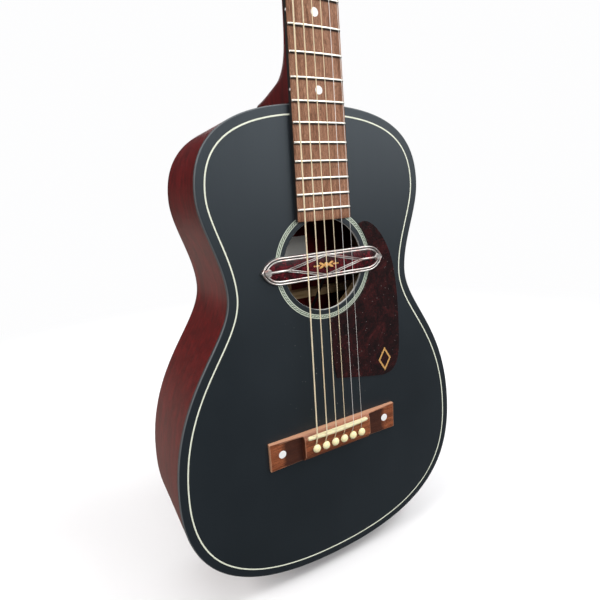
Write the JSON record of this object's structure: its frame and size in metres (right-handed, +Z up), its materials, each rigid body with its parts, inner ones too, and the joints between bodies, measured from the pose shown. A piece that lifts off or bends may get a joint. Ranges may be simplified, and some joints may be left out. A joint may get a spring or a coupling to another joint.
{
  "type": "acoustic guitar",
  "caption": "Small-bodied steel-string acoustic guitar joined at the twelfth fret: braced sound box, tapered fretted neck, geared tuners, pin bridge and a soundhole pickup.",
  "frame": {"origin": "where the end pin meets the tail of the body, on the centre line and mid depth of the tail", "axes": "+Z up the neck towards the headstock, +X towards the treble side, -Y out of the soundboard"},
  "size_m": [0.3212, 0.1142, 0.9397],
  "materials": {
    "painted_top": "satin blue-black over spruce",
    "cream_purfling": "cream line with a faint green cast",
    "rope_rosette": "cream and pale green rope pattern",
    "mahogany_red": "satin translucent wine red",
    "lining_wood": "raw",
    "block_wood": "raw mahogany",
    "spruce": "raw spruce",
    "maple": "raw maple",
    "paper": "blank aged paper",
    "tortoise": "dark red tortoise",
    "gold_foil": "satin gold",
    "walnut": "oiled",
    "bone": "polished bone",
    "pin_plastic": "cream",
    "pearl": "pearl",
    "neck_mahogany": "satin wine red",
    "black_plastic": "black",
    "headplate_wood": "satin dark veneer",
    "steel": "plain",
    "brass": "turned",
    "nickel": "nickel plated",
    "fingerboard_walnut": "oiled",
    "nickel_silver": "polished",
    "bronze": "phosphor bronze wound",
    "string_steel": "plain steel",
    "tuner_key_ivory": "nickel shaft with an ivoroid button",
    "chrome": "polished",
    "pickup_tortoise": "dark red tortoise",
    "coil_black": "moulded",
    "cable_rubber": "matt"
  },
  "bodies": {
    "guitar": {"soundboard": "painted_top", "purfling": "cream_purfling", "rosette": "rope_rosette", "back_plate": "mahogany_red", "side_bass": "mahogany_red", "side_treble": "mahogany_red", "lining_front": "lining_wood", "lining_back": "lining_wood", "neck_block": "block_wood", "tail_block": "block_wood", "x_brace_bass": "spruce", "x_brace_treble": "spruce", "upper_brace": "spruce", "top_bars": "spruce", "bridge_plate": "maple", "back_braces": "spruce", "back_center_strip": "lining_wood", "label": "paper", "pickguard": "tortoise", "pickguard_inlay": "gold_foil", "bridge": "walnut", "saddle": "bone", "bridge_pins": "pin_plastic", "bridge_dots": "pearl", "neck": "neck_mahogany", "heel_cap": "black_plastic", "headplate": "headplate_wood", "truss_rod": "steel", "truss_rod_cover": "black_plastic", "headstock_screws": "nickel", "fingerboard": "fingerboard_walnut", "position_dots": "pearl", "frets": "nickel_silver", "nut": "bone", "strings_wound": "bronze", "strings_plain": "string_steel", "tuner_plates": "nickel", "tuner_bushings": "nickel", "pickup_frame": "chrome", "pickup_cover": "pickup_tortoise", "pickup_housing": "coil_black", "pickup_clamps": "coil_black", "pickup_screws": "chrome", "pickup_cable": "cable_rubber", "endpin_jack": "nickel"},
    "tuner_1_key": {"tuner_1_key": "tuner_key_ivory"},
    "tuner_1_post": {"tuner_1_post": "nickel"},
    "tuner_2_key": {"tuner_2_key": "tuner_key_ivory"},
    "tuner_2_post": {"tuner_2_post": "nickel"},
    "tuner_3_key": {"tuner_3_key": "tuner_key_ivory"},
    "tuner_3_post": {"tuner_3_post": "nickel"},
    "tuner_4_key": {"tuner_4_key": "tuner_key_ivory"},
    "tuner_4_post": {"tuner_4_post": "nickel"},
    "tuner_5_key": {"tuner_5_key": "tuner_key_ivory"},
    "tuner_5_post": {"tuner_5_post": "nickel"},
    "tuner_6_key": {"tuner_6_key": "tuner_key_ivory"},
    "tuner_6_post": {"tuner_6_post": "nickel"},
    "truss_rod_nut": {"truss_rod_nut": "brass"}
  },
  "joints": [
    {"name": "tuner_1_key_turn", "type": "hinge", "parent": "guitar", "child": "tuner_1_key", "pos_m": [0.0235, -0.02541, 0.79522], "axis": [1, 0, 0], "continuous": true},
    {"name": "tuner_1_post_turn", "type": "hinge", "parent": "guitar", "child": "tuner_1_post", "pos_m": [0.0235, -0.04088, 0.80735], "axis": [0, 0.9744, -0.225], "continuous": true},
    {"name": "tuner_2_key_turn", "type": "hinge", "parent": "guitar", "child": "tuner_2_key", "pos_m": [0.0235, -0.01641, 0.8342], "axis": [1, 0, 0], "continuous": true},
    {"name": "tuner_2_post_turn", "type": "hinge", "parent": "guitar", "child": "tuner_2_post", "pos_m": [0.0235, -0.03188, 0.84632], "axis": [0, 0.9744, -0.225], "continuous": true},
    {"name": "tuner_3_key_turn", "type": "hinge", "parent": "guitar", "child": "tuner_3_key", "pos_m": [0.0235, -0.00741, 0.87317], "axis": [1, 0, 0], "continuous": true},
    {"name": "tuner_3_post_turn", "type": "hinge", "parent": "guitar", "child": "tuner_3_post", "pos_m": [0.0235, -0.02288, 0.8853], "axis": [0, 0.9744, -0.225], "continuous": true},
    {"name": "tuner_4_key_turn", "type": "hinge", "parent": "guitar", "child": "tuner_4_key", "pos_m": [-0.0235, -0.00741, 0.87317], "axis": [-1, 0, 0], "continuous": true},
    {"name": "tuner_4_post_turn", "type": "hinge", "parent": "guitar", "child": "tuner_4_post", "pos_m": [-0.0235, -0.02288, 0.8853], "axis": [0, 0.9744, -0.225], "continuous": true},
    {"name": "tuner_5_key_turn", "type": "hinge", "parent": "guitar", "child": "tuner_5_key", "pos_m": [-0.0235, -0.01641, 0.8342], "axis": [-1, 0, 0], "continuous": true},
    {"name": "tuner_5_post_turn", "type": "hinge", "parent": "guitar", "child": "tuner_5_post", "pos_m": [-0.0235, -0.03188, 0.84632], "axis": [0, 0.9744, -0.225], "continuous": true},
    {"name": "tuner_6_key_turn", "type": "hinge", "parent": "guitar", "child": "tuner_6_key", "pos_m": [-0.0235, -0.02541, 0.79522], "axis": [-1, 0, 0], "continuous": true},
    {"name": "tuner_6_post_turn", "type": "hinge", "parent": "guitar", "child": "tuner_6_post", "pos_m": [-0.0235, -0.04088, 0.80735], "axis": [0, 0.9744, -0.225], "continuous": true},
    {"name": "truss_rod_nut_turn", "type": "hinge", "parent": "guitar", "child": "truss_rod_nut", "pos_m": [0, -0.0454, 0.768], "axis": [0, 0, 1], "range_deg": [-180, 180]}
  ],
  "couplings": [
    {"joint": "tuner_1_post_turn", "follows": "tuner_1_key_turn", "ratio": 0.071429},
    {"joint": "tuner_2_post_turn", "follows": "tuner_2_key_turn", "ratio": 0.071429},
    {"joint": "tuner_3_post_turn", "follows": "tuner_3_key_turn", "ratio": 0.071429},
    {"joint": "tuner_4_post_turn", "follows": "tuner_4_key_turn", "ratio": -0.071429},
    {"joint": "tuner_5_post_turn", "follows": "tuner_5_key_turn", "ratio": -0.071429},
    {"joint": "tuner_6_post_turn", "follows": "tuner_6_key_turn", "ratio": -0.071429}
  ]
}
